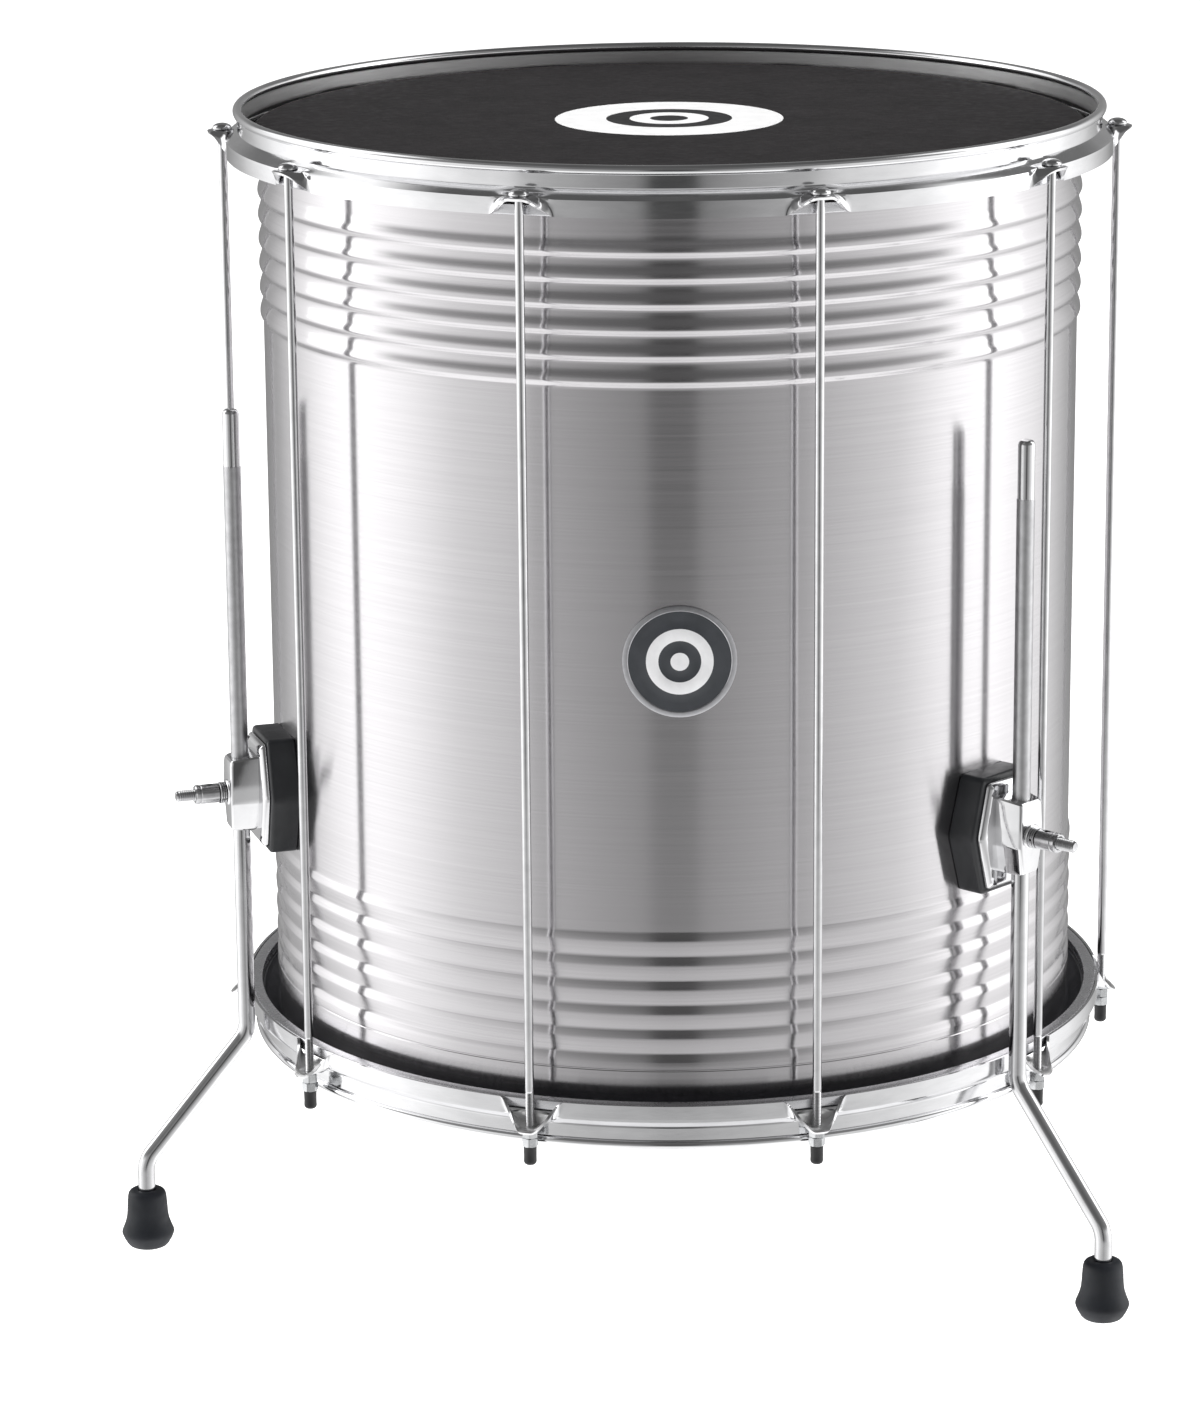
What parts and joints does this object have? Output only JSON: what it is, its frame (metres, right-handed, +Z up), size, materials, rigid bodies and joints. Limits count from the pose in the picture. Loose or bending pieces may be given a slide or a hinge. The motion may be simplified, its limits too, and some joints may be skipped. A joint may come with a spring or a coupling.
{
  "type": "floor bass drum",
  "caption": "Floor-standing cylindrical bass drum: ribbed metal shell, a skin at each end, pressed hoops on long rods, and bent legs that slide in clamps.",
  "frame": {"origin": "on the floor, under the middle of the whole drum's outline (shell, hoops and the three splayed feet); the shell's axis stands at x 36.8 mm, y -47.4 mm", "axes": "+Z up along the shell's axis; -Y towards the front, where the badge is; +X to the right of someone facing the badge"},
  "size_m": [0.7018, 0.6992, 0.785],
  "materials": {
    "shell_metal": "brushed round the shell",
    "badge": "dark lacquer, bright rim",
    "hoop_chrome": "polished chrome",
    "flesh_metal": "satin",
    "batter_skin": "matt black coated cloth with a white printed disc",
    "resonant_skin": "matt black coated cloth",
    "rod_steel": "polished",
    "nut_steel": "zinc bright",
    "cap_vinyl": "soft vinyl",
    "bracket_pad": "moulded black",
    "bracket_chrome": "polished casting",
    "clamp_steel": "turned and plated",
    "screw_steel": "zinc plated",
    "leg_chrome": "plated, knurled upper part",
    "foot_rubber": "moulded rubber"
  },
  "bodies": {
    "drum": {"shell": "shell_metal", "shell_badge": "badge", "top_hoop": "hoop_chrome", "bottom_hoop": "hoop_chrome", "batter_head": "batter_skin", "resonant_head": "resonant_skin", "batter_flesh_hoop": "flesh_metal", "resonant_flesh_hoop": "flesh_metal", "tension_rod_01": "rod_steel", "tension_rod_02": "rod_steel", "tension_rod_03": "rod_steel", "tension_rod_04": "rod_steel", "tension_rod_05": "rod_steel", "tension_rod_06": "rod_steel", "tension_rod_07": "rod_steel", "tension_rod_08": "rod_steel", "tension_rod_09": "rod_steel", "tension_rod_10": "rod_steel", "lock_nuts": "nut_steel", "rod_caps": "cap_vinyl", "leg_bracket_base_1": "bracket_pad", "leg_bracket_1": "bracket_chrome", "eye_bolt_1": "clamp_steel", "spring_washers_1": "clamp_steel", "leg_bracket_base_2": "bracket_pad", "leg_bracket_2": "bracket_chrome", "eye_bolt_2": "clamp_steel", "spring_washers_2": "clamp_steel", "leg_bracket_base_3": "bracket_pad", "leg_bracket_3": "bracket_chrome", "eye_bolt_3": "clamp_steel", "spring_washers_3": "clamp_steel", "bracket_screws": "screw_steel", "bracket_washers": "screw_steel"},
    "leg_1_with_foot": {"leg_1": "leg_chrome", "foot_1": "foot_rubber"},
    "leg_2_with_foot": {"leg_2": "leg_chrome", "foot_2": "foot_rubber"},
    "leg_3_with_foot": {"leg_3": "leg_chrome", "foot_3": "foot_rubber"},
    "clamp_nut_body_1": {"clamp_nut_1": "clamp_steel"},
    "clamp_nut_body_2": {"clamp_nut_2": "clamp_steel"},
    "clamp_nut_body_3": {"clamp_nut_3": "clamp_steel"},
    "tuning_nut_body_01": {"tuning_nut_01": "nut_steel"},
    "tuning_nut_body_02": {"tuning_nut_02": "nut_steel"},
    "tuning_nut_body_03": {"tuning_nut_03": "nut_steel"},
    "tuning_nut_body_04": {"tuning_nut_04": "nut_steel"},
    "tuning_nut_body_05": {"tuning_nut_05": "nut_steel"},
    "tuning_nut_body_06": {"tuning_nut_06": "nut_steel"},
    "tuning_nut_body_07": {"tuning_nut_07": "nut_steel"},
    "tuning_nut_body_08": {"tuning_nut_08": "nut_steel"},
    "tuning_nut_body_09": {"tuning_nut_09": "nut_steel"},
    "tuning_nut_body_10": {"tuning_nut_10": "nut_steel"}
  },
  "joints": [
    {"name": "leg_1_height", "type": "slide", "parent": "drum", "child": "leg_1_with_foot", "axis": [0, 0, 1], "range_m": [-0.18, 0.12]},
    {"name": "leg_2_height", "type": "slide", "parent": "drum", "child": "leg_2_with_foot", "axis": [0, 0, 1], "range_m": [-0.18, 0.12]},
    {"name": "leg_3_height", "type": "slide", "parent": "drum", "child": "leg_3_with_foot", "axis": [0, 0, 1], "range_m": [-0.18, 0.12]},
    {"name": "clamp_nut_1_turn", "type": "hinge", "parent": "drum", "child": "clamp_nut_body_1", "pos_m": [-0.2818, -0.15092, 0.323], "axis": [-0.9511, -0.309, 0], "range_deg": [0, 1080]},
    {"name": "clamp_nut_2_turn", "type": "hinge", "parent": "drum", "child": "clamp_nut_body_2", "pos_m": [0.28575, -0.27156, 0.323], "axis": [0.7431, -0.6691, 0], "range_deg": [0, 1080]},
    {"name": "clamp_nut_3_turn", "type": "hinge", "parent": "drum", "child": "clamp_nut_body_3", "pos_m": [0.10645, 0.28028, 0.323], "axis": [0.2079, 0.9781, 0], "range_deg": [0, 1080]},
    {"name": "tuning_nut_01_turn", "type": "hinge", "parent": "drum", "child": "tuning_nut_body_01", "pos_m": [0.13124, -0.33804, 0.1438], "axis": [0, 0, 1], "range_deg": [-1440, 720]},
    {"name": "tuning_nut_02_turn", "type": "hinge", "parent": "drum", "child": "tuning_nut_body_02", "pos_m": [0.28404, -0.22703, 0.1438], "axis": [0, 0, 1], "range_deg": [-1440, 720]},
    {"name": "tuning_nut_03_turn", "type": "hinge", "parent": "drum", "child": "tuning_nut_body_03", "pos_m": [0.3424, -0.0474, 0.1438], "axis": [0, 0, 1], "range_deg": [-1440, 720]},
    {"name": "tuning_nut_04_turn", "type": "hinge", "parent": "drum", "child": "tuning_nut_body_04", "pos_m": [0.28404, 0.13223, 0.1438], "axis": [0, 0, 1], "range_deg": [-1440, 720]},
    {"name": "tuning_nut_05_turn", "type": "hinge", "parent": "drum", "child": "tuning_nut_body_05", "pos_m": [0.13124, 0.24324, 0.1438], "axis": [0, 0, 1], "range_deg": [-1440, 720]},
    {"name": "tuning_nut_06_turn", "type": "hinge", "parent": "drum", "child": "tuning_nut_body_06", "pos_m": [-0.05764, 0.24324, 0.1438], "axis": [0, 0, 1], "range_deg": [-1440, 720]},
    {"name": "tuning_nut_07_turn", "type": "hinge", "parent": "drum", "child": "tuning_nut_body_07", "pos_m": [-0.21044, 0.13223, 0.1438], "axis": [0, 0, 1], "range_deg": [-1440, 720]},
    {"name": "tuning_nut_08_turn", "type": "hinge", "parent": "drum", "child": "tuning_nut_body_08", "pos_m": [-0.2688, -0.0474, 0.1438], "axis": [0, 0, 1], "range_deg": [-1440, 720]},
    {"name": "tuning_nut_09_turn", "type": "hinge", "parent": "drum", "child": "tuning_nut_body_09", "pos_m": [-0.21044, -0.22703, 0.1438], "axis": [0, 0, 1], "range_deg": [-1440, 720]},
    {"name": "tuning_nut_10_turn", "type": "hinge", "parent": "drum", "child": "tuning_nut_body_10", "pos_m": [-0.05764, -0.33804, 0.1438], "axis": [0, 0, 1], "range_deg": [-1440, 720]}
  ]
}
